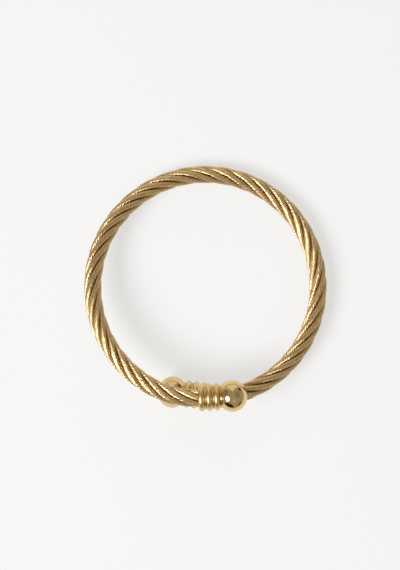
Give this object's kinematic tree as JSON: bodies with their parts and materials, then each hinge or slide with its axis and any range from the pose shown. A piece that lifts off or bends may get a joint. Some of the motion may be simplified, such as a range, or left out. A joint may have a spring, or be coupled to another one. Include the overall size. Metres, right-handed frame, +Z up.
{
  "type": "twisted wire bangle",
  "caption": "Open crossover bangle of gold-toned stranded wire rope, each end in a ribbed cap with a ball tip, lying at rest.",
  "frame": {"origin": "centre of the ring, on the surface that the bangle lies on", "axes": "+Z up, through the wrist opening; -Y towards the crossing of the two ends; +X towards the ball of the upper end"},
  "size_m": [0.07, 0.0706, 0.0179],
  "materials": {
    "gilt_wire": "fine drawn wires, gold plated, satin",
    "core_wire": "drawn wire, hidden",
    "polished_gilt": "turned and polished, gold plated"
  },
  "bodies": {
    "root": {"strand_1": "gilt_wire", "strand_2": "gilt_wire", "strand_3": "gilt_wire", "strand_4": "gilt_wire", "strand_5": "gilt_wire", "strand_6": "gilt_wire", "core_wire": "core_wire", "lower_end_cap": "polished_gilt", "upper_end_cap": "polished_gilt"}
  },
  "joints": []
}
